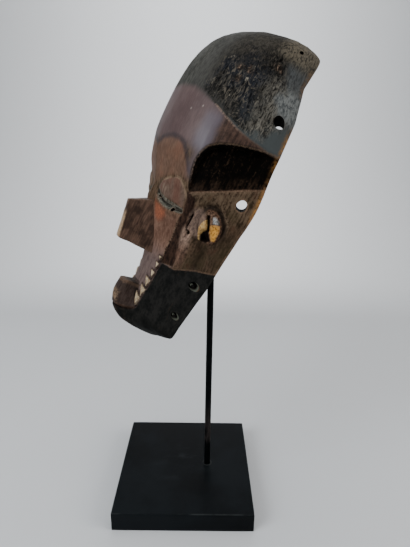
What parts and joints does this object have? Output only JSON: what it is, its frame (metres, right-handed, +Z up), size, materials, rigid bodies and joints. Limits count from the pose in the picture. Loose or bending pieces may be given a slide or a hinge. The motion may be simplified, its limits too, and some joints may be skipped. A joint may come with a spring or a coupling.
{
  "type": "carved face mask on stand",
  "caption": "Hollow carved wooden face mask with black cap, slit eyes and a toothed jaw line, leaning back on a thin steel rod set in a square black base.",
  "frame": {"origin": "centre of the underside of the base", "axes": "+Z up along the rod; the base's sides lie along X and Y; the mask faces -Y, turned 22 degrees toward +X"},
  "size_m": [0.1422, 0.1623, 0.4212],
  "materials": {
    "base_lacquer": "satin black lacquer",
    "rod_paint": "satin black paint on steel",
    "mask_wood": "dark rubbed patina with black pigment"
  },
  "bodies": {
    "root": {"base": "base_lacquer", "stand_rod": "rod_paint", "mask": "mask_wood"}
  },
  "joints": []
}
